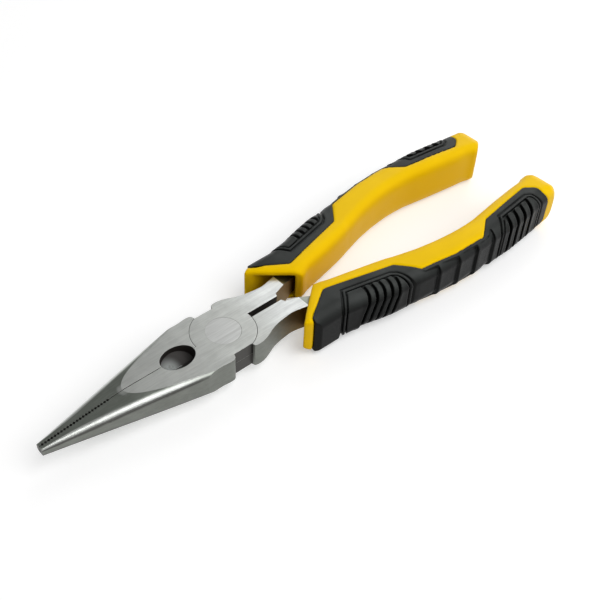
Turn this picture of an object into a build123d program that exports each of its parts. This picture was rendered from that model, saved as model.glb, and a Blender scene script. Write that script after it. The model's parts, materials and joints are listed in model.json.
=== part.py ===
from build123d import *
from math import atan2, cos, degrees, radians, sin, tan
import os

# Needle nose pliers with a lap joint, side cutters and two-material grips, in millimetres.
# +X runs from the pivot to the jaw tips, +Z up. The origin is on the pivot axis, on the
# flat underside of the head. Half A carries the +Y jaw, the upper lap disc and the -Y
# handle. Half B is the same forging turned over about the long axis.

# ---- overall sizes ----
jaw_reach = 63.0            # pivot axis to the jaw tips
grip_reach = 136.2          # pivot axis to the far end of the grips
head_thickness = 8.9        # across the ground flats of the head
half_head = head_thickness / 2
cut_height = 20.0           # reach of cuts that pass above and below everything
cut_width = 40.0            # reach of cuts that pass outside everything
open_side = 32.0            # outside the grips, where the outlines drawn on them close

# ---- lap joint ----
joint_radius = 10.2         # edge of each lap disc
joint_flat = 9.5            # half width across the flats that trim the lap discs
seam_clearance = 0.13       # radial gap between a lap disc and the seat around it
lap_clearance = 0.08        # gap between the two lap faces
shoulder_step = 1.1         # how far the shoulders stand out from the lap discs
jaw_shoulder_angle = 70.0   # where the jaw's shoulder stands, measured from +X
handle_shoulder_angle = 108.5   # where the other half's handle shoulder stands when shut
root_radius = 2.0           # where the outlines of jaw and handle close inside the lap disc

# ---- jaws ----
jaw_gap = 0.24              # between the jaw faces when shut
jaw_width = 11.0            # half width of the pair at the widest place
tip_width = 1.6             # half width of the pair at the tips
tip_height = 1.5            # half height at the tips
flat_end = 36.0             # where the ground flats run out on the parting line
nose_width_slope = 0.2      # half width gained for each millimetre back from the tips
crown_radius = 22.0         # crown of the nose, above and below
nose_edges = [(-2.0, 0.5), (24.0, 2.1), (42.0, 2.1), (jaw_reach, 0.9)]  # x, radius of its long edges
tooth_start = 41.0          # nearest tooth to the pivot
tooth_pitch = 1.0
tooth_depth = 0.4

# ---- side cutter ----
cutter_centre = 16.9        # middle of the oval cutter pocket
cutter_length = 11.5
cutter_width = 8.5
cutter_angle = 30.0         # slope of each bevel, up from the mid-plane
cutter_gap = 0.08           # between the cutting edges when shut

# ---- rivet ----
rivet_radius = 3.2          # land that is fast in half A
rivet_clearance = 0.04      # radial running clearance in half B
rivet_head_radius = 5.6     # flush countersunk heads
rivet_head_depth = 1.6

# ---- handles of the forging ----
slot_half_width = 1.0       # half gap between the shanks
tang_half_height = 3.1      # half height of the bar inside the grip
tang_reach = grip_reach - 18.2  # pivot axis to the end of the bar
ground_end = 27.0           # pivot axis to the end of the ground flats

# ---- grips ----
cover_side = 3.0            # rubber thickness on the outer side
cover_top = 2.2             # rubber thickness on top and bottom
mouth_half_height = 5.0     # half height of the grip's mouth
outer_round = 4.5           # corner radius of the grip's section, outer side
inner_round = 3.8           # corner radius of the grip's section, inner side
least_round = 0.5           # the same at the floors of deep grooves
end_height = 9.0            # far end above the mid-plane
end_depth = 8.2             # and below it
end_round_top = 9.2         # rounding of the far end, seen from the side
end_round_bottom = 3.0
end_round_outer = 5.0       # rounding of the far end, seen from above
end_round_inner = 4.0
cover_round = 1.4           # corners of the rubber's outline
cover_end_round = 2.2       # its last two corners, which follow the far end

# ---- tread of the rubber ----
border_width = 0.8          # groove that outlines each panel
border_ridge = 0.8          # ridge inside that groove
border_line = 0.5           # second groove, inside the ridge
border_depth = 0.6
groove_depth = 1.4          # between the ribs
front_groove_count = 5
front_groove_pitch = 2.75
front_groove_width = 1.25
front_groove_middle = -47.1     # middle groove, at half height
front_groove_lean = 0.25    # how far the grooves lean back for each millimetre up
rear_rib_count = 4
rear_rib_pitch = 4.1
rear_rib_width = 2.3
rear_rib_length = 20.0
rear_rib_tip = 22.2         # long axis to the round tip of the first rib
rear_rib_step = 0.42        # how much nearer each further rib's tip stands
scale_count = 4
scale_pitch = 8.55
scale_drop = 0.6            # how far each scale sinks before the next one
scale_lead = 0.05           # how far outside the surface the sinking starts


def rear(distance):
    """The x of a place given from the far end of the grips."""
    return distance - grip_reach


scale_start = rear(74.7)
scale_ends = [scale_start - scale_pitch * count for count in range(1, scale_count + 1)]

# Where the grip's shape turns. Each row has x, the inner side, the outer side, the height
# above the mid-plane, the depth below it, and the corner radius below on the outer side,
# which holds up to the next row.
front_stations = [
    (-14.0, -3.0, 17.4, 7.3, 7.3, 1.5),
    (-32.3, 1.9, 17.7, 7.3, 7.4, 3.0),
    (-40.3, 4.1, 19.1, 7.4, 7.4, outer_round),
    (-48.0, 5.8, 21.1, 7.4, 7.4, outer_round),
    (-54.0, 7.0, 22.4, 7.4, 7.4, outer_round),
    (-59.6, 8.2, 22.8, 7.5, 7.4, outer_round),
]
scale_stations = [
    (scale_start, 9.3, 23.2, 7.6, 7.5, outer_round),
    (scale_ends[0], 11.9, 24.7, 8.0, 7.6, outer_round),
    (scale_ends[1], 13.6, 25.6, 8.4, 7.8, outer_round),
    (scale_ends[2], 14.6, 26.0, 8.7, 7.9, outer_round),
    (scale_ends[3], 14.8, 26.0, 8.85, 8.1, outer_round),
]
end_stations = [
    (rear(37.5), 14.1, 25.8, 8.9, 8.1, outer_round),
    (rear(29.2), 13.0, 25.6, 9.0, 8.2, outer_round),
    (rear(21.2), 12.1, 24.9, 9.0, 8.2, outer_round),
    (rear(13.2), 11.1, 24.1, 8.9, 8.2, outer_round),
    (rear(-3.8), 8.9, 22.7, 8.8, 8.1, outer_round),
]
grip_stations = front_stations + scale_stations + end_stations

mid = Plane.XY.offset(half_head)                    # where the two halves lap
under = Plane(origin=(0, 0, half_head), x_dir=(1, 0, 0), z_dir=(0, 0, -1))  # mid, seen from below
side = Plane.XZ.shift_origin((0, 0, half_head))     # upright plane through the long axis
turn_axis = Axis((0, 0, half_head), (1, 0, 0))      # turning about it makes A into B


def polar(radius, angle):
    """Point in plan at an angle from +X."""
    return (radius * cos(radians(angle)), radius * sin(radians(angle)))


def across(x):
    """Plane across the long axis at x, drawn with +Y to the right and Z up."""
    return Plane(origin=(x, 0, half_head), x_dir=(0, 1, 0), z_dir=(1, 0, 0))


# ================================ nose form ================================
# A wedge with crowned top and bottom and round edges. The head's flats are ground across it,
# which leaves the arched edge between flat and nose.
nose_rise = (half_head - tip_height) / (jaw_reach - flat_end)

with BuildPart() as nose:
    for x, edge_radius in nose_edges:
        half_width = tip_width + nose_width_slope * (jaw_reach - x)
        height = tip_height + nose_rise * (jaw_reach - x)
        edge_height = height - half_width ** 2 / (2 * crown_radius)
        with BuildSketch(across(x)) as section:
            with BuildLine():
                ThreePointArc((-half_width, edge_height), (0, height), (half_width, edge_height))
                Line((half_width, edge_height), (half_width, -edge_height))
                ThreePointArc((half_width, -edge_height), (0, -height), (-half_width, -edge_height))
                Line((-half_width, -edge_height), (-half_width, edge_height))
            make_face()
            fillet(section.vertices(), edge_radius)
    loft()

# ================================ jaw ================================
tooth_count = int((jaw_reach - 1.0 - tooth_start) / tooth_pitch) + 1
tooth_middle = tooth_start + (tooth_count - 1) * tooth_pitch / 2
cutter_end = cutter_centre + cutter_length / 2
jaw_corner = polar(joint_radius + shoulder_step, jaw_shoulder_angle)
jaw_root = polar(root_radius, jaw_shoulder_angle)

with BuildPart() as jaw:
    with BuildSketch(mid):
        with BuildLine():
            Polyline(
                jaw_root,
                (root_radius, cutter_gap / 2),
                (cutter_end, cutter_gap / 2),
                (cutter_end + 1.0, jaw_gap / 2),
                (jaw_reach, jaw_gap / 2),
                (jaw_reach, tip_width + 1.0),
                (16.0, jaw_width + 0.3),
            )
            Spline((16.0, jaw_width + 0.3), (9.0, jaw_width), jaw_corner, tangents=[(-1, 0.15), (-0.6, -1)])
            Line(jaw_corner, jaw_root)
        make_face()
    extrude(amount=half_head, both=True)
    add(nose.part, mode=Mode.INTERSECT)
    with BuildSketch(mid):
        with Locations((tooth_middle, jaw_gap / 2)):
            with GridLocations(tooth_pitch, 0, tooth_count, 1):
                Polygon((-tooth_pitch / 2, -0.1), (tooth_pitch / 2, -0.1), (0, tooth_depth), align=None)
    extrude(amount=half_head, both=True, mode=Mode.SUBTRACT)

# The oval cutter pocket sinks from both flats to two bevels that meet at the cutting edge.
bevel_rise = cutter_width * tan(radians(cutter_angle))
with BuildPart() as cutter_pocket:
    with BuildSketch(mid):
        with Locations((cutter_centre, 0)):
            Ellipse(cutter_length / 2, cutter_width / 2)
    extrude(amount=half_head + 1, both=True)
    with BuildSketch(across(0)):
        Polygon((0, 0), (cutter_width, bevel_rise), (cutter_width, -bevel_rise), align=None)
    extrude(amount=cutter_end + 2, mode=Mode.SUBTRACT)

# ================================ handle ================================
handle_corner = polar(joint_radius + shoulder_step, handle_shoulder_angle)
handle_root = polar(root_radius, handle_shoulder_angle)
tang_end_outer = (-tang_reach, 20.2)
tang_end_inner = (-tang_reach, 15.0)

with BuildPart() as handle:
    with BuildSketch(under):
        with BuildLine():
            Line(handle_root, handle_corner)
            Spline(handle_corner, (-7.2, 10.8), (-13.2, 8.5), (-19.0, 7.5), (-25.5, 8.2),
                   tangents=[(-1, 0.45), (-1, 0.25)])
            Spline((-25.5, 8.2), (-57.0, 16.6), (30.0 - tang_reach, 22.0), tang_end_outer,
                   tangents=[(-1, 0.25), (-1, -0.1)])
            ThreePointArc(tang_end_outer, (-tang_reach - 2.4, 17.5), tang_end_inner)
            Spline(tang_end_inner, (30.0 - tang_reach, 17.0), (-57.0, 10.9), (-28.5, 4.1),
                   tangents=[(1, 0.1), (1, -0.3)])
            Polyline((-28.5, 4.1), (-22.6, 2.2), (-22.0, slot_half_width), (-root_radius, slot_half_width))
            Line((-root_radius, slot_half_width), handle_root)
        make_face()
    extrude(amount=half_head, both=True)
    # behind the ground flats the bar is thinner, above and below
    with BuildSketch(side):
        with BuildLine():
            Polyline(
                (-ground_end, half_head),
                (-ground_end - 5, tang_half_height),
                (-tang_reach - 5, tang_half_height),
                (-tang_reach - 5, half_head + 1),
                (-ground_end, half_head + 1),
                close=True,
            )
        make_face()
        mirror(about=Plane.XZ)
    extrude(amount=cut_width, mode=Mode.SUBTRACT)

# ================================ rivet ================================
# Fast in half A above the lap. Below it the rivet is thinner by the running clearance.
head_land = half_head - rivet_head_depth
running_radius = rivet_radius - rivet_clearance
with BuildPart() as rivet:
    with BuildSketch(side):
        with BuildLine():
            Polyline(
                (0, -half_head),
                (rivet_head_radius - rivet_clearance, -half_head),
                (running_radius, -head_land),
                (running_radius, 0),
                (rivet_radius, 0),
                (rivet_radius, head_land),
                (rivet_head_radius, half_head),
                (0, half_head),
                close=True,
            )
        make_face()
    revolve(axis=Axis.Z)
sink_angle = 2 * degrees(atan2(rivet_head_radius - rivet_radius, rivet_head_depth))

# ================================ halves ================================
with BuildPart() as left_jaw_half:
    add(jaw.part)
    add(handle.part)
    # seat for the other half's lap disc, open to the underside
    with BuildSketch(Plane.XY):
        Circle(joint_radius + seam_clearance)
    extrude(amount=half_head + lap_clearance / 2, mode=Mode.SUBTRACT)
    # this half's own lap disc, trimmed by two flats
    with BuildSketch(mid.offset(lap_clearance / 2)):
        Circle(joint_radius)
        Rectangle(2 * joint_radius, 2 * joint_flat, mode=Mode.INTERSECT)
    extrude(amount=half_head - lap_clearance / 2)
    add(cutter_pocket.part, mode=Mode.SUBTRACT)
    with Locations((0, 0, head_thickness)):
        CounterSinkHole(rivet_radius, rivet_head_radius, counter_sink_angle=sink_angle)

with BuildPart() as right_jaw_half:
    add(left_jaw_half.part.rotate(turn_axis, 180))

# ================================ grips ================================


def grip_corner(row, side_inset, top_inset, out, up):
    """A corner of the -Y grip's section before rounding: outer or inner, upper or lower."""
    x, inner, outer, top, bottom, _ = row
    y = outer - side_inset if out else inner + side_inset
    z = top - top_inset if up else top_inset - bottom
    return Vector(x, -y, half_head + z)


def square_grip(rows, side_inset, top_inset):
    """The -Y grip through the given rows, made smaller by the insets, with sharp corners."""
    sides = [(row[0], row[1] + side_inset) for row in rows]
    sides += [(row[0], row[2] - side_inset) for row in rows[::-1]]
    heights = [(row[0], row[3] - top_inset) for row in rows]
    heights += [(row[0], top_inset - row[4]) for row in rows[::-1]]
    with BuildPart() as body:
        with BuildSketch(under):
            Polygon(*sides, align=None)
        extrude(amount=cut_height, both=True)
        with BuildSketch(side):
            Polygon(*heights, align=None)
        extrude(amount=cut_width, both=True, mode=Mode.INTERSECT)
    return body.part


def round_grip(rows, side_inset, top_inset):
    """The same with its four long corners rounded off from row to row."""
    with BuildPart() as body:
        add(square_grip(rows, side_inset, top_inset))
        corners = []
        for row, next_row in zip(rows, rows[1:]):
            for out, up, radius in ((True, True, outer_round), (True, False, row[5]),
                                    (False, True, inner_round), (False, False, inner_round)):
                start = grip_corner(row, side_inset, top_inset, out, up)
                way = grip_corner(next_row, side_inset, top_inset, out, up) - start
                size = max(radius - top_inset, least_round)
                # the section plane with the corner as its origin and both axes pointing out of the grip
                outwards = (0, -1 if out else 1, 0)
                facing = (-1 if out == up else 1, 0, 0)
                with BuildSketch(Plane(start, x_dir=outwards, z_dir=facing)):
                    Rectangle(size, size, align=(Align.MAX, Align.MAX))
                    with Locations((-size, -size)):
                        Circle(size, mode=Mode.SUBTRACT)
                corners.append(extrude(amount=way.length, dir=way.normalized(), mode=Mode.PRIVATE))
        add(corners, mode=Mode.SUBTRACT)
    return body.part


front_inner = (-36.5, 0.5)      # the front face runs from here ...
front_outer = (-19.5, 14.4)     # ... to here, where the outer side starts
end_face = rear(-0.1)           # just clear of the plan, so that only its roundings cut

with BuildPart() as grip_form:
    add(round_grip(grip_stations, 0, 0))
    # front face, and the far end in plan
    with BuildSketch(under) as plan:
        Polygon(
            (rear(7.5), -2.0),
            (-38.5, -1.1),
            front_inner,
            front_outer,
            (-25.2, 18.0),
            (-40.0, open_side),
            (rear(6.0), open_side),
            (rear(6.0), 23.6),
            (rear(0.0), 23.6),
            (rear(0.0), 17.3),
            (rear(8.2), 9.8),
            align=None,
        )
        end_corners = plan.vertices().group_by(Axis.X)[0].sort_by(Axis.Y)
        fillet(end_corners[-1], end_round_outer)
        fillet(end_corners[0], end_round_inner)
    extrude(amount=cut_height, both=True, mode=Mode.INTERSECT)
    # far end seen from the side, full and round above, tighter below
    with BuildSketch(side) as end_profile:
        Polygon((0, end_height), (end_face, end_height), (end_face, -end_depth), (0, -end_depth), align=None)
        fillet(end_profile.vertices().group_by(Axis.X)[0].sort_by(Axis.Y)[-1], end_round_top)
        fillet(end_profile.vertices().group_by(Axis.X)[0].sort_by(Axis.Y)[0], end_round_bottom)
    extrude(amount=cut_width, mode=Mode.INTERSECT)

with BuildPart() as cover_blank:
    add(grip_form.part)
    with BuildSketch(under) as cover_plan:
        Polygon(
            (-22.7, 14.7),
            (-33.3, 7.7),
            (-58.4, 14.0),
            (rear(72.2), 21.0),
            (rear(58.2), 23.4),
            (rear(45.2), 24.0),
            (rear(38.2), 18.9),
            (rear(14.6), 15.9),
            (rear(10.9), 18.6),
            (rear(10.6), 22.0),
            (rear(8.0), 24.4),
            (rear(8.0), open_side),
            (-22.7, open_side),
            align=None,
        )
        fillet(cover_plan.vertices().filter_by_position(Axis.X, rear(30.0), -30.0), cover_round)
        fillet(cover_plan.vertices().filter_by_position(Axis.X, rear(9.0), rear(15.0)), cover_end_round)
    extrude(amount=cut_height, both=True, mode=Mode.INTERSECT)
    add(square_grip(grip_stations[::2] + grip_stations[-1:], cover_side, cover_top), mode=Mode.SUBTRACT)
    add(handle.part, mode=Mode.SUBTRACT)    # the rubber gives way to the bar

with BuildPart() as right_grip_sleeve:
    add(grip_form.part)
    add(cover_blank.part, mode=Mode.SUBTRACT)
    # mouth around the shank
    with BuildSketch(under):
        Polygon(
            (-26.0, 2.5),
            (-29.9, 3.6),
            (-43.0, 6.6),
            (-43.0, 13.6),
            (-24.0, 12.6),
            (-14.0, 12.6),
            align=None,
        )
    extrude(amount=mouth_half_height, both=True, mode=Mode.SUBTRACT)
    add(handle.part, mode=Mode.SUBTRACT)

# ================================ tread ================================
# Two panels with a double border hold the ribs, and scales lie between them. The floors of
# the grooves follow the grip's own surface at a depth below it.
front_panel = [
    (-31.2, open_side),
    (-31.2, 19.5),
    (-37.0, 11.4),
    (-55.0, 15.4),
    (-57.0, 17.0),
    (-59.3, 21.5),
    (-61.0, 24.0),
    (-61.0, open_side),
]
rear_panel = [
    (rear(37.3), open_side),
    (rear(37.3), 25.0),
    (rear(34.0), 20.2),
    (rear(17.3), 18.5),
    (rear(15.2), 19.7),
    (rear(13.7), 22.5),
    (rear(10.8), 26.0),
    (rear(10.8), open_side),
]
scale_field = [
    (scale_start, open_side),
    (scale_start, 20.0),
    (rear(71.2), 22.2),
    (rear(58.2), 24.3),
    (rear(45.7), 24.9),
    (rear(42.7), 24.4),
    (scale_ends[-1], 22.6),
    (scale_ends[-1], open_side),
]
field_inset = border_width + border_ridge


def inside(panel, inset):
    """A panel's outline moved inwards, in the plane's own coordinates."""
    with BuildSketch() as outline:
        Polygon(*panel, align=None)
        offset(amount=-inset, kind=Kind.INTERSECTION)
    return outline.sketch_local


def widened(row, amount):
    """A station with every side moved outwards."""
    x, inner, outer, top, bottom, under_round = row
    return (x, inner - amount, outer + amount, top + amount, bottom + amount, under_round)


with BuildPart() as border_cut:
    with BuildSketch(under):
        for panel in (front_panel, rear_panel):
            Polygon(*panel, align=None)
            add(inside(panel, border_width), mode=Mode.SUBTRACT)
            add(inside(panel, field_inset))
            add(inside(panel, field_inset + border_line), mode=Mode.SUBTRACT)
    extrude(amount=cut_height, both=True)
    add(round_grip(grip_stations, border_depth, border_depth), mode=Mode.SUBTRACT)

# leaning grooves of the front panel
lean_end = front_groove_lean * cut_height
with BuildPart() as front_cut:
    with BuildSketch(side):
        with Locations((front_groove_middle, 0)):
            with GridLocations(front_groove_pitch, 0, front_groove_count, 1):
                Polygon(
                    (front_groove_width / 2 - lean_end, cut_height),
                    (-front_groove_width / 2 - lean_end, cut_height),
                    (-front_groove_width / 2 + lean_end, -cut_height),
                    (front_groove_width / 2 + lean_end, -cut_height),
                    align=None,
                )
    extrude(amount=cut_width)
    with BuildSketch(under):
        add(inside(front_panel, field_inset))
    extrude(amount=cut_height, both=True, mode=Mode.INTERSECT)
    add(round_grip(grip_stations, groove_depth, groove_depth / 2), mode=Mode.SUBTRACT)

# fingers with round tops and a smooth dome stand in the rear panel
with BuildSketch() as dome:
    add(inside(rear_panel, field_inset + border_line))
    split(bisect_by=Plane(origin=(rear(18.8), 0, 0), z_dir=(-1, 0, 0)), keep=Keep.TOP)

with BuildPart() as rear_cut:
    with BuildSketch(under):
        add(inside(rear_panel, field_inset))
        add(dome.sketch_local, mode=Mode.SUBTRACT)
        for count in range(rear_rib_count):
            rib_middle = rear_rib_tip + rear_rib_length / 2 - rear_rib_step * count
            with Locations((rear(34.0 - rear_rib_pitch * count), rib_middle)):
                SlotOverall(rear_rib_length, rear_rib_width, rotation=90, mode=Mode.SUBTRACT)
    extrude(amount=cut_height, both=True)
    add(round_grip(grip_stations, groove_depth, groove_depth / 2), mode=Mode.SUBTRACT)

# each scale sinks rearwards to the step of the next one
with BuildPart() as scale_cut:
    with BuildSketch(under):
        Polygon(*scale_field, align=None)
    extrude(amount=cut_height, both=True)
    for row, next_row in zip(scale_stations, scale_stations[1:]):
        add(round_grip([widened(row, scale_lead), widened(next_row, -scale_drop)], 0, 0), mode=Mode.SUBTRACT)

with BuildPart() as right_grip_cover:
    add(cover_blank.part)
    add(border_cut.part, mode=Mode.SUBTRACT)
    add(front_cut.part, mode=Mode.SUBTRACT)
    add(rear_cut.part, mode=Mode.SUBTRACT)
    add(scale_cut.part, mode=Mode.SUBTRACT)

# the other grip is a mirror image
with BuildPart() as left_grip_sleeve:
    add(right_grip_sleeve.part.mirror(Plane.XZ))

with BuildPart() as left_grip_cover:
    add(right_grip_cover.part.mirror(Plane.XZ))

# ================================ files ================================
pieces = {
    "left_jaw_half": left_jaw_half,
    "right_jaw_half": right_jaw_half,
    "pivot_rivet": rivet,
    "right_grip_sleeve": right_grip_sleeve,
    "left_grip_sleeve": left_grip_sleeve,
    "right_grip_cover": right_grip_cover,
    "left_grip_cover": left_grip_cover,
}
os.makedirs("parts", exist_ok=True)
for name, piece in pieces.items():
    piece.part.label = name
    export_step(piece.part, f"parts/{name}.step")
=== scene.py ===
import math
import json
import bpy
import numpy as np
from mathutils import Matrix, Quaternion, Vector

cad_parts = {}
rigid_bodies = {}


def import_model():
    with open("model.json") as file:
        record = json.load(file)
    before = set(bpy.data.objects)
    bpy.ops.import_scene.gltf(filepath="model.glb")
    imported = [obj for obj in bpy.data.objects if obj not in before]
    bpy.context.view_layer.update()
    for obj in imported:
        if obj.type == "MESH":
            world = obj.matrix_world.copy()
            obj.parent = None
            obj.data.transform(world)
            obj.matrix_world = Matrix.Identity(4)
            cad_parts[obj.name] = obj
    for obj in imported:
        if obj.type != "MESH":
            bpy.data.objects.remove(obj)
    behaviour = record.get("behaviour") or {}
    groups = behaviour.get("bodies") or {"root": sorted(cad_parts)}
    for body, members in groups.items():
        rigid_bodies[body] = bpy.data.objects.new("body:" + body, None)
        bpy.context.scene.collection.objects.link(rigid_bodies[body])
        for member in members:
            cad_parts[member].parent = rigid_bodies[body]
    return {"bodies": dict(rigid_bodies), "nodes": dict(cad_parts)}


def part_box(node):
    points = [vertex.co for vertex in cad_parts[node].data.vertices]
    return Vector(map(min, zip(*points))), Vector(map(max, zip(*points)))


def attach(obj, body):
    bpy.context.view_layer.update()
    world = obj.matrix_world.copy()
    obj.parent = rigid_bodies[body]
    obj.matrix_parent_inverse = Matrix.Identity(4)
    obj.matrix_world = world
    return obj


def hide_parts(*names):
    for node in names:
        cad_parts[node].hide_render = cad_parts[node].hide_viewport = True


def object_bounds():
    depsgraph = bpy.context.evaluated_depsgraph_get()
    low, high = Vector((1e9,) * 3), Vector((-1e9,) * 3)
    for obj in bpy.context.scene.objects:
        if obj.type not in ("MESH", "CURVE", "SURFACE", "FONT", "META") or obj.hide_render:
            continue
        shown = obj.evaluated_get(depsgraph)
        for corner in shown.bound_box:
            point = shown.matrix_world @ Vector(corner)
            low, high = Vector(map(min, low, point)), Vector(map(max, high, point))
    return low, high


# Needle nose pliers: ground steel head, yellow grips, soft black covers.
# Lengths are in metres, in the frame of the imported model: X runs to the tips, Z up.

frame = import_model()
nodes = frame["nodes"]
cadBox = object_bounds()
print("frame loaded")

scene = bpy.context.scene
scene.view_settings.view_transform = "Standard"

rivetLow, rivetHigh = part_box("pivot_rivet")     # its two faces are flush with the head's flats
midHeight = (rivetHigh[2] + rivetLow[2]) / 2
halfHead = rivetHigh[2] - midHeight

cameraSettings = {
    "target": (-0.02959, 0.00162),  # point on the mid-plane that the camera looks at
    "azimuth": 136.36,              # degrees, 0 looks along +Y
    "elevation": 44.58,
    "roll": 2.91,
    "distance": 0.2953,
    "lens": 55.66,
    "sensor": 36,
    "nearest": 0.01,
}


def makeCamera(settings):
    azimuth = math.radians(settings["azimuth"])
    elevation = math.radians(settings["elevation"])
    back = Vector((
        math.sin(azimuth) * math.cos(elevation),
        -math.cos(azimuth) * math.cos(elevation),
        math.sin(elevation),
    ))
    data = bpy.data.cameras.new("camera")
    data.lens = settings["lens"]
    data.sensor_width = settings["sensor"]
    data.clip_start = settings["nearest"]
    camera = bpy.data.objects.new("camera", data)
    scene.collection.objects.link(camera)
    camera.location = Vector((*settings["target"], midHeight)) + back * settings["distance"]
    camera.rotation_mode = "QUATERNION"
    level = (-back).to_track_quat("-Z", "Y")
    camera.rotation_quaternion = level @ Quaternion((0, 0, 1), math.radians(settings["roll"]))
    scene.camera = camera


makeCamera(cameraSettings)

lampAim = (-0.03, 0, 0)     # both lamps face this point
lampSettings = {
    # above the near side
    "key": {"place": (-0.27, 0.43, 0.69), "size": 0.85, "power": 5.0},
    # mirrored by the ground flats
    "back": {"place": (-0.68, -0.42, 0.53), "size": 0.60, "power": 1.7},
}


def makeLamp(name, place, size, power):
    data = bpy.data.lights.new(name, "AREA")
    data.shape = "SQUARE"
    data.size = size
    data.energy = power
    lamp = bpy.data.objects.new(name, data)
    scene.collection.objects.link(lamp)
    lamp.location = place
    lamp.rotation_mode = "QUATERNION"
    lamp.rotation_quaternion = (Vector(lampAim) - Vector(place)).to_track_quat("-Z", "Y")


for name, settings in lampSettings.items():
    makeLamp(name, **settings)
print("camera and lamps placed")


def feed(tree, socket, value):
    # a socket is linked, anything else is set
    if isinstance(value, bpy.types.NodeSocket):
        tree.links.new(value, socket)
    else:
        socket.default_value = value


def calc(tree, operation, first, second=None, clamp=False):
    node = tree.nodes.new("ShaderNodeMath")
    node.operation = operation
    node.use_clamp = clamp
    feed(tree, node.inputs[0], first)
    if second is not None:
        feed(tree, node.inputs[1], second)
    return node.outputs[0]


def product(tree, first, *others):
    for other in others:
        first = calc(tree, "MULTIPLY", first, other)
    return first


def opposite(tree, mask):
    # black where the mask is white
    return calc(tree, "SUBTRACT", 1.0, mask)


def distance(tree, x, y):
    squares = calc(tree, "ADD", product(tree, x, x), product(tree, y, y))
    return calc(tree, "SQRT", squares)


def smooth(tree, value, low, high, start=0.0, end=1.0):
    # goes smoothly from start to end while the value goes from low to high
    node = tree.nodes.new("ShaderNodeMapRange")
    node.interpolation_type = "SMOOTHSTEP"
    labels = ("Value", "From Min", "From Max", "To Min", "To Max")
    for label, number in zip(labels, (value, low, high, start, end)):
        feed(tree, node.inputs[label], number)
    return node.outputs["Result"]


def between(tree, mask, start, end):
    # start where the mask is black, end where it is white
    return smooth(tree, mask, 0.0, 1.0, start, end)


def blend(tree, factor, first, second, mode="MIX"):
    node = tree.nodes.new("ShaderNodeMix")
    node.data_type = "RGBA"
    node.blend_type = mode
    for index, value in ((0, factor), (6, first), (7, second)):
        feed(tree, node.inputs[index], value)
    return node.outputs[2]


def grey(value):
    return (value, value, value, 1)


def axes(tree, vector):
    node = tree.nodes.new("ShaderNodeSeparateXYZ")
    feed(tree, node.inputs[0], vector)
    return node.outputs


def objectPlace(tree):
    return tree.nodes.new("ShaderNodeTexCoord").outputs["Object"]


def levelness(tree):
    # 1 where the surface lies flat, up or down, and 0 where it stands upright
    normal = tree.nodes.new("ShaderNodeNewGeometry").outputs["Normal"]
    return calc(tree, "ABSOLUTE", axes(tree, normal)["Z"])


def stretched(tree, place, scale):
    node = tree.nodes.new("ShaderNodeVectorMath")
    node.operation = "MULTIPLY"
    feed(tree, node.inputs[0], place)
    feed(tree, node.inputs[1], scale)
    return node.outputs[0]


def noise(tree, place, scale, detail=2.0, roughness=0.5):
    node = tree.nodes.new("ShaderNodeTexNoise")
    feed(tree, node.inputs["Vector"], place)
    feed(tree, node.inputs["Scale"], scale)
    node.inputs["Detail"].default_value = detail
    node.inputs["Roughness"].default_value = roughness
    return node.outputs["Fac"]


def makeGroup(name, inputs, outputs):
    # every group takes a place on the surface, and the numbers in inputs
    group = bpy.data.node_groups.new(name, "ShaderNodeTree")
    group.interface.new_socket(name="Place", in_out="INPUT", socket_type="NodeSocketVector")
    for label, value in inputs.items():
        socket = group.interface.new_socket(name=label, in_out="INPUT", socket_type="NodeSocketFloat")
        socket.default_value = value
    for label in outputs:
        group.interface.new_socket(name=label, in_out="OUTPUT", socket_type="NodeSocketFloat")
    given = group.nodes.new("NodeGroupInput").outputs
    return group, given, group.nodes.new("NodeGroupOutput").inputs


def placeGroup(tree, group, **values):
    node = tree.nodes.new("ShaderNodeGroup")
    node.node_tree = group
    for label, value in values.items():
        feed(tree, node.inputs[label], value)
    return node.outputs


grainSettings = {
    "contrast": (0.3, 0.7),         # noise outside these is plain black or white
    "fine": (1.0, 3.0, 0.6),        # scale, detail and roughness of the noise
    "fineShare": 0.6,
    "broad": (0.3, 2.0),
    "broadShare": 0.4,
    "steelCloud": (160.0, 3.0, 0.6),
    "mouldCloud": (70.0, 3.0),
    "mouldNoise": (2.0, 0.7),       # detail and roughness
}


def makeBeltGrain(settings):
    # scratches of a grinding belt: long and thin, with slow cloudy changes over them
    inputs = {"Length": 90.0, "Fineness": 2600.0}
    tree, given, out = makeGroup("beltGrain", inputs, ("Scratch", "Cloud"))
    scale = tree.nodes.new("ShaderNodeCombineXYZ")
    for axis, label in (("X", "Length"), ("Y", "Fineness"), ("Z", "Fineness")):
        feed(tree, scale.inputs[axis], given[label])
    place = stretched(tree, given["Place"], scale.outputs[0])
    fine = product(tree, noise(tree, place, *settings["fine"]), settings["fineShare"])
    broad = product(tree, noise(tree, place, *settings["broad"]), settings["broadShare"])
    cloud = noise(tree, given["Place"], *settings["steelCloud"])
    feed(tree, out["Scratch"], smooth(tree, calc(tree, "ADD", fine, broad), *settings["contrast"]))
    feed(tree, out["Cloud"], smooth(tree, cloud, *settings["contrast"]))
    return tree


def makeMouldGrain(settings):
    # matt grain of a moulded surface, with slow changes of tone
    tree, given, out = makeGroup("mouldGrain", {"Fineness": 3000.0}, ("Grain", "Cloud"))
    feed(tree, out["Grain"], noise(tree, given["Place"], given["Fineness"], *settings["mouldNoise"]))
    cloud = noise(tree, given["Place"], *settings["mouldCloud"])
    feed(tree, out["Cloud"], smooth(tree, cloud, *settings["contrast"]))
    return tree


beltGrain = makeBeltGrain(grainSettings)
mouldGrain = makeMouldGrain(grainSettings)


def newMaterial(name):
    mat = bpy.data.materials.new(name)
    mat.use_nodes = True
    tree = mat.node_tree
    return mat, tree, tree.nodes["Principled BSDF"].inputs


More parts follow.
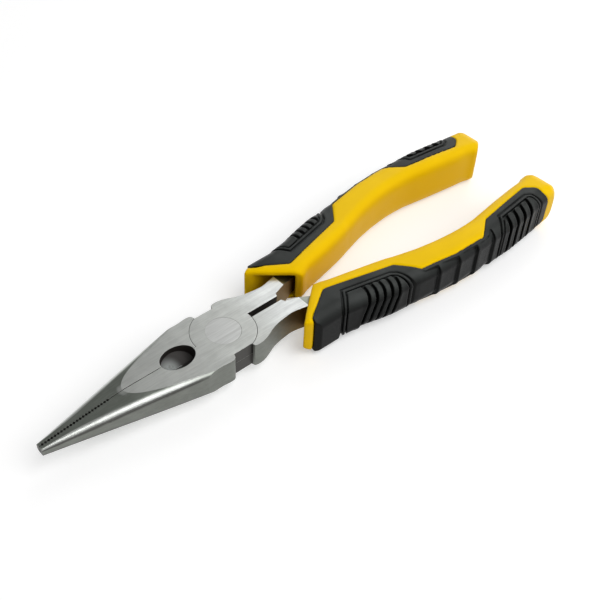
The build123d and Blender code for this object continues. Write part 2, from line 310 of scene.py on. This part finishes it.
def softRelief(tree, height, strength, depth, radius):
    # small relief on top of softened edges
    bevel = tree.nodes.new("ShaderNodeBevel")
    bevel.samples = 8
    feed(tree, bevel.inputs["Radius"], radius)
    bump = tree.nodes.new("ShaderNodeBump")
    bump.inputs["Strength"].default_value = strength
    bump.inputs["Distance"].default_value = depth
    feed(tree, bump.inputs["Height"], height)
    feed(tree, bump.inputs["Normal"], bevel.outputs["Normal"])
    return bump.outputs["Normal"]


# A pair named fade, or ending in Fade, is where a change starts and where it is complete.
steelSettings = {
    "flat": (0.56, 0.575, 0.55, 1),         # ground flats of the head
    "shank": (0.70, 0.72, 0.71, 1),         # the same flats with painted light, brighter towards the grips
    "shankFade": (-0.006, -0.022),
    "nose": (0.25, 0.27, 0.24, 1),          # crowned faces of the jaws
    "side": (0.20, 0.21, 0.19, 1),          # upright walls
    "paintedShade": (0.020, 0.016, 0.014, 1),       # painted shade: slot, recesses, root of the pocket
    "flatRough": 0.37,
    "noseRough": 0.30,
    "sideRough": 0.42,
    "groundFade": (0.985, 0.998),           # how level a ground flat lies
    "uprightFade": (0.6, 0.25),             # and an upright wall
    "margin": 0.0001,                       # and how close to the head's full height a flat is

    "grain": {"Length": 160.0, "Fineness": 3600.0},
    "wallGrain": {"Length": 700.0, "Fineness": 500.0},
    "scratchTone": (0.90, 1.04),
    "cloudTone": (-0.04, 0.05),
    "scratchRough": 0.05,
    "relief": (0.25, 0.00002),              # strength and depth of the scratches
    "edge": 0.00012,

    # long outer edges of the nose, with a painted highlight band
    "taper": (0.0, 0.063, 0.0135, 0.0015),  # half width: between these x, from and to
    "noseFade": (0.010, 0.024),
    "highlightBand": (0.62, 0.64, 0.61, 1),
    "bandFade": (0.76, 0.92),               # in half widths, as are the next two
    "roundFade": (0.62, 0.84),
    "noseEdge": 0.28,                       # how round they are
    "underFade": (0.008, 0.020),            # their steep lower half gets painted shade
    "underLevels": ((0.66, 0.50), (0.10, 0.30)),    # from less level than this, to upright
    "underShade": 0.8,

    "shadeTint": (0.21, 0.145, 0.06, 1),      # walls next to the grips: painted shade, tinted brown as a painted reflection of the grips
    "shadeTintFade": (-0.012, -0.026),
    "jointRadius": 0.0107,                  # walls inside this radius get painted shade
    "jointFade": 0.0002,
    "jointShade": 0.88,
    "slotHalfWidth": 0.0016,
    "slotFade": 0.0004,
    "slotShade": (0.75, 0.98),               # painted shade in front of the rivet, and behind it
    "slotTurn": -0.001,

    "pocket": (0.30, 0.32, 0.31, 1),        # bevels inside the cutter pocket
    "pocketMiddle": 0.0169,
    "pocketLength": 0.0117,
    "pocketWidth": 0.0087,
    "pocketRim": 1.02,                      # outer end of its soft rim, in half widths squared
    "pocketLight": 0.0196,                  # painted light is brightest here on the long axis ...
    "pocketReach": 0.0046,                  # ... and the painted shade darkest this far away
    "pocketEven": 0.2,                      # share of that distance that keeps the painted light
    "pocketShade": 0.97,
    "pocketRough": 0.6,
    "spots": (900.0, 3.0, 0.6),
    "spotFade": (0.35, 0.65),
    "spotDark": 0.35,
    "dull": (0.7, 0.6),                     # less metallic: the places with painted shade, and the pocket
}


def makeSteel(settings):
    mat, tree, shader = newMaterial("groundSteel")
    position = objectPlace(tree)
    x, y, z = axes(tree, position)
    fromMiddle = calc(tree, "ABSOLUTE", y)
    height = calc(tree, "ABSOLUTE", calc(tree, "SUBTRACT", z, midHeight))
    nearTop = (halfHead - 2 * settings["margin"], halfHead - settings["margin"])
    level = levelness(tree)
    ground = smooth(tree, level, *settings["groundFade"])
    ground = product(tree, ground, smooth(tree, height, *nearTop))
    upright = smooth(tree, level, *settings["uprightFade"])
    grain = placeGroup(tree, beltGrain, Place=position, **settings["grain"])
    wallGrain = placeGroup(tree, beltGrain, Place=position, **settings["wallGrain"])

    # painted light: the flats brighten towards the grips
    flat = blend(tree, smooth(tree, x, *settings["shankFade"]), settings["flat"], settings["shank"])
    tone = blend(tree, ground, settings["nose"], flat)
    tone = blend(tree, upright, tone, settings["side"])

    # the long outer edges of the nose are shaded rounder than the rest, and carry a painted highlight
    # that makes them brighter
    halfWidth = smooth(tree, x, *settings["taper"])
    outside = calc(tree, "DIVIDE", fromMiddle, halfWidth)
    alongNose = smooth(tree, x, *settings["noseFade"])
    highlightBand = product(tree, alongNose, smooth(tree, outside, *settings["bandFade"]))
    highlightBand = product(tree, highlightBand, opposite(tree, upright))
    tone = blend(tree, highlightBand, tone, settings["highlightBand"])
    rounding = smooth(tree, outside, *settings["roundFade"], 0.0, settings["noseEdge"])
    rounding = product(tree, alongNose, rounding, halfWidth)
    edge = calc(tree, "MAXIMUM", rounding, settings["edge"])

    # scratches and clouds change the tone a little
    scratches = between(tree, grain["Scratch"], *settings["scratchTone"])
    clouds = between(tree, grain["Cloud"], *settings["cloudTone"])
    uneven = calc(tree, "ADD", scratches, clouds)
    shade = tree.nodes.new("ShaderNodeCombineColor")
    for label in ("Red", "Green", "Blue"):
        feed(tree, shade.inputs[label], uneven)
    tone = blend(tree, 1.0, tone, shade.outputs[0], "MULTIPLY")

    # painted shade on the walls next to the grips, with a painted brown reflection of the grips
    shadeTintShare = product(tree, upright, smooth(tree, x, *settings["shadeTintFade"]))
    tone = blend(tree, shadeTintShare, tone, settings["shadeTint"])

    # painted shade on walls: the recess beside the joint, the slot, and the faces that meet in front
    # of it
    joint, slot = settings["jointRadius"], settings["slotHalfWidth"]
    radius = distance(tree, x, y)
    inJoint = smooth(tree, radius, joint, joint - settings["jointFade"], 0.0, settings["jointShade"])
    nearMiddle = smooth(tree, fromMiddle, slot, slot - settings["slotFade"])
    inSlot = smooth(tree, x, 0.0, settings["slotTurn"], *settings["slotShade"])
    inSlot = product(tree, nearMiddle, inSlot)
    paintedShade = product(tree, upright, calc(tree, "MAXIMUM", inJoint, inSlot))

    # painted shade in the cutter pocket: black at the root, lighter towards the tips
    across = calc(tree, "DIVIDE", y, settings["pocketWidth"] / 2)
    along = calc(tree, "SUBTRACT", x, settings["pocketMiddle"])
    along = calc(tree, "DIVIDE", along, settings["pocketLength"] / 2)
    oval = calc(tree, "ADD", product(tree, across, across), product(tree, along, along))
    inOval = smooth(tree, oval, settings["pocketRim"], 1.0)
    inPocket = product(tree, inOval, smooth(tree, height, *reversed(nearTop)))
    away = distance(tree, calc(tree, "SUBTRACT", x, settings["pocketLight"]), y)
    reach = settings["pocketReach"]
    fade = smooth(tree, away, reach * settings["pocketEven"], reach, 0.0, settings["pocketShade"])
    spots = noise(tree, position, *settings["spots"])
    spots = smooth(tree, spots, *settings["spotFade"], 0.0, settings["spotDark"])
    fade = calc(tree, "MAXIMUM", calc(tree, "MAXIMUM", fade, spots), upright)
    paintedShade = calc(tree, "MAXIMUM", paintedShade, product(tree, inPocket, fade))
    tone = blend(tree, inPocket, tone, settings["pocket"])

    # painted shade on the lower half of the nose's round edges
    upper, lower = settings["underLevels"]
    under = product(tree, smooth(tree, level, *upper), smooth(tree, level, *lower))
    alongUnder = smooth(tree, x, *settings["underFade"], 0.0, settings["underShade"])
    under = product(tree, under, alongUnder)
    paintedShade = calc(tree, "MAXIMUM", paintedShade, product(tree, under, opposite(tree, inPocket)))
    tone = blend(tree, paintedShade, tone, settings["paintedShade"])

    rough = blend(tree, ground, grey(settings["noseRough"]), grey(settings["flatRough"]))
    rough = blend(tree, upright, rough, grey(settings["sideRough"]))
    rough = blend(tree, inPocket, rough, grey(settings["pocketRough"]))
    change = between(tree, grain["Scratch"], settings["scratchRough"], -settings["scratchRough"])
    rough = calc(tree, "ADD", rough, product(tree, ground, change))
    shadeDull, pocketDull = settings["dull"]
    shadeDull, pocketDull = product(tree, paintedShade, shadeDull), product(tree, inPocket, pocketDull)
    dull = calc(tree, "MAXIMUM", shadeDull, pocketDull)
    scratch = product(tree, ground, grain["Scratch"])
    scratch = calc(tree, "ADD", scratch, product(tree, upright, wallGrain["Scratch"]))
    relief = softRelief(tree, scratch, *settings["relief"], edge)
    feed(tree, shader["Base Color"], tone)
    feed(tree, shader["Roughness"], rough)
    feed(tree, shader["Metallic"], opposite(tree, dull))
    feed(tree, shader["Normal"], relief)
    return mat


rivetSettings = {
    "face": (0.63, 0.64, 0.625, 1),
    "ring": (0.20, 0.20, 0.19, 1),          # thin dark line round the head
    "headRadius": 0.0056,
    "ringWidth": 0.00016,
    "ringFade": (0.003, -0.003),            # fainter towards the jaws
    "ringStrength": (0.25, 1.0),
    "grain": {"Length": 110.0, "Fineness": 2200.0},
    "scratchTone": (0.22, 0.0),
    "rough": 0.38,
    "scratchRough": 0.05,
    "relief": (0.2, 0.00002),
    "edge": 0.00005,
}


def makeRivetSteel(settings):
    mat, tree, shader = newMaterial("rivetSteel")
    position = objectPlace(tree)
    x, y, _ = axes(tree, position)
    grain = placeGroup(tree, beltGrain, Place=position, **settings["grain"])
    scratches = between(tree, grain["Scratch"], *settings["scratchTone"])
    tone = blend(tree, scratches, settings["face"], settings["ring"])
    rim, width = settings["headRadius"], settings["ringWidth"]
    ring = smooth(tree, distance(tree, x, y), rim - width, rim - width / 2)
    strength = smooth(tree, x, *settings["ringFade"], *settings["ringStrength"])
    tone = blend(tree, product(tree, ring, strength), tone, settings["ring"])
    rough, change = settings["rough"], settings["scratchRough"]
    feed(tree, shader["Base Color"], tone)
    shader["Metallic"].default_value = 1.0
    feed(tree, shader["Roughness"], between(tree, grain["Scratch"], rough + change, rough - change))
    relief = softRelief(tree, grain["Scratch"], *settings["relief"], settings["edge"])
    feed(tree, shader["Normal"], relief)
    return mat


yellowSettings = {
    "color": (0.92, 0.58, 0.0, 1),
    "deep": (0.64, 0.365, 0.0, 1),          # painted shade on upright sides, and the slow changes of tone
    "deepSide": 0.45,
    "deepCloud": 0.12,
    "sideFade": (0.8, 0.1),
    "fineness": 3500.0,
    "rough": (0.40, 0.54),
    "relief": (0.15, 0.00003),
    "edge": 0.0011,
    "shine": 0.25,
    "sheen": (1.0, 0.75, 0.05, 1),          # colour of its reflections
}


def makeYellow(settings):
    mat, tree, shader = newMaterial("yellowPlastic")
    grain = placeGroup(tree, mouldGrain, Place=objectPlace(tree), Fineness=settings["fineness"])
    clouds = between(tree, grain["Cloud"], 0.0, settings["deepCloud"])
    # painted shade: upright sides of the yellow plastic are drawn darker
    sideShadeShare = smooth(tree, levelness(tree), *settings["sideFade"], 0.0, settings["deepSide"])
    tone = blend(tree, clouds, settings["color"], settings["deep"])
    tone = blend(tree, sideShadeShare, tone, settings["deep"])
    rough = smooth(tree, grain["Grain"], *grainSettings["contrast"], *settings["rough"])
    relief = softRelief(tree, grain["Grain"], *settings["relief"], settings["edge"])
    feed(tree, shader["Base Color"], tone)
    feed(tree, shader["Roughness"], rough)
    feed(tree, shader["Normal"], relief)
    shader["Specular IOR Level"].default_value = settings["shine"]
    shader["Specular Tint"].default_value = settings["sheen"]
    return mat


rubberSettings = {
    "color": (0.0020, 0.0024, 0.0022, 1),
    "paintedTopLight": (0.044, 0.048, 0.046, 1),       # painted light on faces that lie up, in uneven patches
    "paintedTopFade": (0.15, 0.85),
    "paintedTopCloud": (0.6, 1.0),
    "fineness": 2400.0,
    "rough": (0.30, 0.46),
    "relief": (0.25, 0.00003),
    "edge": 0.00025,
    "shine": 0.11,
}


def makeRubber(settings):
    mat, tree, shader = newMaterial("blackRubber")
    grain = placeGroup(tree, mouldGrain, Place=objectPlace(tree), Fineness=settings["fineness"])
    clouds = between(tree, grain["Cloud"], *settings["paintedTopCloud"])
    # painted light: faces that lie up are drawn lighter, patchy by the clouds
    paintedTopShare = product(tree, smooth(tree, levelness(tree), *settings["paintedTopFade"]), clouds)
    tone = blend(tree, paintedTopShare, settings["color"], settings["paintedTopLight"])
    rough = smooth(tree, grain["Grain"], *grainSettings["contrast"], *settings["rough"])
    relief = softRelief(tree, grain["Grain"], *settings["relief"], settings["edge"])
    feed(tree, shader["Base Color"], tone)
    feed(tree, shader["Roughness"], rough)
    feed(tree, shader["Normal"], relief)
    shader["Specular IOR Level"].default_value = settings["shine"]
    return mat


finishes = {
    makeSteel(steelSettings): ("left_jaw_half", "right_jaw_half"),
    makeRivetSteel(rivetSettings): ("pivot_rivet",),
}
for mat, names in finishes.items():
    for name in names:
        nodes[name].data.materials[0] = mat
print("steel finished")


def mouldedMesh(source, shape):
    # the solid's own surface, remeshed finely and with its edges rounded
    draft = bpy.data.objects.new("draft", source.data.copy())
    scene.collection.objects.link(draft)
    remesh = draft.modifiers.new("remesh", "REMESH")
    remesh.mode = "VOXEL"
    remesh.voxel_size = shape["voxel"]
    soften = draft.modifiers.new("soften", "SMOOTH")
    soften.factor = 0.5
    soften.iterations = shape["passes"]
    mesh = bpy.data.meshes.new_from_object(draft.evaluated_get(bpy.context.evaluated_depsgraph_get()))
    bpy.data.objects.remove(draft)
    mesh.shade_smooth()
    return mesh


def readRows(items, label, count, kind):
    values = np.zeros(len(items) * count, kind)
    items.foreach_get(label, values)
    return values.reshape(-1, count)


def readPoints(mesh):
    return readRows(mesh.vertices, "co", 3, np.float32).astype(float)


def writePoints(mesh, points):
    mesh.vertices.foreach_set("co", points.astype(np.float32).ravel())
    mesh.update()


def averaged(mesh, points, passes):
    # every point moves halfway to the middle of its neighbours, in each pass
    edges = readRows(mesh.edges, "vertices", 2, np.int32)
    count = np.bincount(edges.ravel(), minlength=len(points))[:, None]
    for _ in range(passes):
        total = np.empty_like(points)
        for axis in range(3):
            values = points[:, axis]
            total[:, axis] = np.bincount(edges[:, 0], values[edges[:, 1]], len(points))
            total[:, axis] += np.bincount(edges[:, 1], values[edges[:, 0]], len(points))
        points = (points + total / count) / 2
    return points


def ramp(values, start, length):
    # 0 up to the start, 1 a length further on
    return np.clip((values - start) / length, 0, 1)


sleeveShape = {
    "voxel": 0.00032,
    "passes": 5,
    # outer lip of the front
    "lipStart": -0.0275,
    "lipSide": 0.0120,
    "lipFade": (0.0020, 0.0015),        # along and across the grip
    "lipPasses": 40,
    # inner side
    "slice": 0.0005,
    "window": 0.014,                    # length over which it is smoothed along the grip
    "near": 5,                          # slices on each side that count as the same place
    "depth": 0.0035,                    # how deep that smoothing reaches
    "frontLength": 0.016,               # the slanted front stays as it is
    "frontFade": 0.006,
    "endFade": 0.004,
    "innerPasses": 80,
    # far end, rounded off behind endStart
    "endStart": -0.1272,
    "endMiddle": (0.0169, midHeight + 0.0004),
    "endHalf": (0.0089, 0.0074, 0.0089),
    "endPower": 2.1,                    # 2 is round, more is squarer
    "sectionPower": 3.2,                # the same across the grip
}


def softenLip(mesh, points, shape):
    # the outer lip of the front is one soft curve
    alongFade, acrossFade = shape["lipFade"]
    share = ramp(points[:, 0], shape["lipStart"], alongFade)
    share *= ramp(np.abs(points[:, 1]), shape["lipSide"], acrossFade)
    soft = averaged(mesh, points, shape["lipPasses"])
    return points + (soft - points) * share[:, None]


def smoothInside(mesh, points, shape):
    # the inner side bends in one sweep from front to back
    side = np.abs(points[:, 1])
    place = (points[:, 0] - points[:, 0].min()) / shape["slice"]
    index = place.astype(int)
    inner = np.full(index.max() + 1, 1.0)
    np.minimum.at(inner, index, side)

    reach = int(shape["window"] / shape["slice"])
    kernel = np.hanning(2 * reach + 1)
    padded = np.pad(inner, reach, mode="reflect", reflect_type="odd")
    swept = np.convolve(padded, kernel / kernel.sum(), "valid")
    kernel = np.hanning(2 * shape["near"] + 1)
    padded = np.pad(inner, shape["near"] - 1, mode="edge")
    local = np.convolve(padded, kernel[1:-1] / kernel.sum(), "valid")
    ticks = np.arange(len(inner)) + 0.5
    local = np.interp(place, ticks, local)

    share = np.clip(1 - (side - local) / shape["depth"], 0, 1)
    front = points[:, 0].max() - shape["frontLength"]
    keep = ramp(points[:, 0], front, -shape["frontFade"])
    share *= keep * ramp(points[:, 0], shape["endStart"], shape["endFade"])
    points[:, 1] += np.sign(points[:, 1]) * share * (np.interp(place, ticks, swept) - local)
    return points + (averaged(mesh, points, shape["innerPasses"]) - points) * share[:, None]


def roundEnd(points, shape):
    # what stands outside a rounded block is pushed in to its surface
    middle = np.array([shape["endStart"], *shape["endMiddle"]])
    sign = np.sign(points[:, 1])
    local = np.column_stack((points[:, 0], np.abs(points[:, 1]), points[:, 2])) - middle
    scaled = np.abs(local / np.array(shape["endHalf"]))
    power, sectionPower = shape["endPower"], shape["sectionPower"]
    section = np.sum(scaled[:, 1:] ** sectionPower, axis=1) ** (power / sectionPower)
    reach = scaled[:, 0] ** power + section
    far = (local[:, 0] < 0) & (reach > 1)
    local[far] *= (reach[far] ** (-1 / power))[:, None]
    points[far] = local[far] + middle
    points[far, 1] *= sign[far]


frontShape = {
    "outer": (-0.0195, 0.0144),     # the slanted front face runs from here ...
    "inner": (-0.0365, 0.0005),     # ... to here
    "length": 0.0065,               # its edges are rounded over this length
    "top": 0.0010,                  # and pulled in by this much, above and below
    "bottom": 0.0030,
    "start": 0.0048,                # height above or below the middle where that starts
    "fade": 0.0022,
}


def roundFront(points, shape):
    # pulls the upper and lower edges of the slanted front in
    outer, inner = np.array(shape["outer"]), np.array(shape["inner"])
    along = (outer - inner) / np.linalg.norm(outer - inner)
    flat = np.column_stack((points[:, 0], np.abs(points[:, 1]))) - outer
    behind = flat @ np.array([-along[1], along[0]])
    near = np.clip(1 - behind / shape["length"], 0, 1)
    height = points[:, 2] - midHeight
    most = np.where(height > 0, shape["top"], shape["bottom"])
    high = ramp(np.abs(height), shape["start"], shape["fade"])
    points[:, 2] -= np.sign(height) * (most * high * (1 - np.sqrt(1 - near ** 2)))


coverShape = {
    "voxel": 0.00021,
    "passes": 4,
    "sweeps": 130,          # averaging that leaves the grip's plain surface
    "groove": 0.9,          # how much deeper the grooves become below it ...
    "rib": 0.45,            # ... and how much higher the ribs stand above it
    "most": 0.0007,
    "margin": 0.0010,       # fades in over this much from the tread's edge
    # inner edge of the tread along the grip, as x and distance from the long axis
    "treadEdge": (
        (-0.1254, 0.0260), (-0.1225, 0.0225), (-0.1210, 0.0197), (-0.1189, 0.0185),
        (-0.1022, 0.0202), (-0.0989, 0.0245), (-0.0780, 0.0243), (-0.0650, 0.0222),
        (-0.0610, 0.0240), (-0.0593, 0.0215), (-0.0570, 0.0170), (-0.0550, 0.0154),
        (-0.0370, 0.0114), (-0.0312, 0.0195),
    ),
}


def raiseTread(mesh, points, shape, box):
    # grooves go deeper and ribs stand higher, both rounded, as in a soft moulding
    plain = averaged(mesh, points, shape["sweeps"])
    writePoints(mesh, plain)
    normals = readRows(mesh.vertex_normals, "vector", 3, np.float32).astype(float)
    detail = np.sum((points - plain) * normals, axis=1)
    edgeX, edgeY = np.array(shape["treadEdge"]).T
    share = ramp(np.abs(points[:, 1]), np.interp(points[:, 0], edgeX, edgeY), shape["margin"])
    share *= (points[:, 0] > edgeX[0]) & (points[:, 0] < edgeX[-1])
    gain = np.where(detail > 0, shape["rib"], shape["groove"])
    change = np.clip(detail * gain, -shape["most"], shape["most"]) * share
    return np.clip(points + normals * change[:, None], box[0], box[1])


def placeMoulding(name, node, mesh, points, mat):
    roundFront(points, frontShape)
    writePoints(mesh, points)
    source = nodes[node]
    body = next(label for label, empty in frame["bodies"].items() if source.parent is empty)
    piece = bpy.data.objects.new(name, mesh)
    scene.collection.objects.link(piece)
    mesh.materials.clear()
    mesh.materials.append(mat)
    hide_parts(node)
    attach(piece, body)
    print(name, len(mesh.polygons), "faces")


yellow = makeYellow(yellowSettings)
rubber = makeRubber(rubberSettings)
for side in ("right", "left"):
    node = side + "_grip_sleeve"
    mesh = mouldedMesh(nodes[node], sleeveShape)
    points = softenLip(mesh, readPoints(mesh), sleeveShape)
    points = smoothInside(mesh, points, sleeveShape)
    roundEnd(points, sleeveShape)
    placeMoulding(side + "Sleeve", node, mesh, points, yellow)

    node = side + "_grip_cover"
    mesh = mouldedMesh(nodes[node], coverShape)
    points = raiseTread(mesh, readPoints(mesh), coverShape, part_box(node))
    placeMoulding(side + "Cover", node, mesh, points, rubber)
print("grips finished")

worldSettings = {
    "horizon": 1.0,         # white round the horizon, greyer overhead
    "overhead": 0.33,
    "fade": (0.12, 0.32),
}


def makeWorld(settings):
    world = bpy.data.worlds.new("studio")
    scene.world = world
    world.use_nodes = True
    tree = world.node_tree
    upward = axes(tree, tree.nodes.new("ShaderNodeTexCoord").outputs["Generated"])["Z"]
    light = smooth(tree, upward, *settings["fade"], settings["horizon"], settings["overhead"])
    seen = tree.nodes.new("ShaderNodeLightPath").outputs["Is Camera Ray"]
    background = tree.nodes["Background"].inputs
    background["Color"].default_value = (1, 1, 1, 1)
    feed(tree, background["Strength"], calc(tree, "MAXIMUM", seen, light))


floorSettings = {
    "size": 6.0,
    "gap": 0.0001,          # below the object's lowest point
    "color": (0.80, 0.80, 0.80, 1),
    "rough": 0.9,
    "glow": 0.36,
    "farGlow": 0.75,        # the lamps don't reach the far floor
    "farFade": (0.3, 1.2),
}


def makeFloor(settings):
    place = (0, 0, cadBox[0][2] - settings["gap"])
    bpy.ops.mesh.primitive_plane_add(size=settings["size"], location=place)
    floor = bpy.context.object
    floor.name = "floor"
    mat, tree, shader = newMaterial("paleFloor")
    shader["Base Color"].default_value = settings["color"]
    shader["Roughness"].default_value = settings["rough"]
    shader["Specular IOR Level"].default_value = 0.0
    path = tree.nodes.new("ShaderNodeLightPath").outputs
    seen = calc(tree, "ADD", path["Is Camera Ray"], path["Is Glossy Ray"], clamp=True)
    seen = calc(tree, "ADD", seen, path["Is Transmission Ray"], clamp=True)
    x, y, _ = axes(tree, objectPlace(tree))
    away = distance(tree, x, y)
    strength = smooth(tree, away, *settings["farFade"], settings["glow"], settings["farGlow"])
    glow = tree.nodes.new("ShaderNodeEmission")
    feed(tree, glow.inputs["Strength"], product(tree, seen, strength))
    both = tree.nodes.new("ShaderNodeAddShader")
    feed(tree, both.inputs[0], tree.nodes["Principled BSDF"].outputs[0])
    feed(tree, both.inputs[1], glow.outputs[0])
    feed(tree, tree.nodes["Material Output"].inputs["Surface"], both.outputs[0])
    floor.data.materials.append(mat)


makeWorld(worldSettings)
makeFloor(floorSettings)
print("floor set")
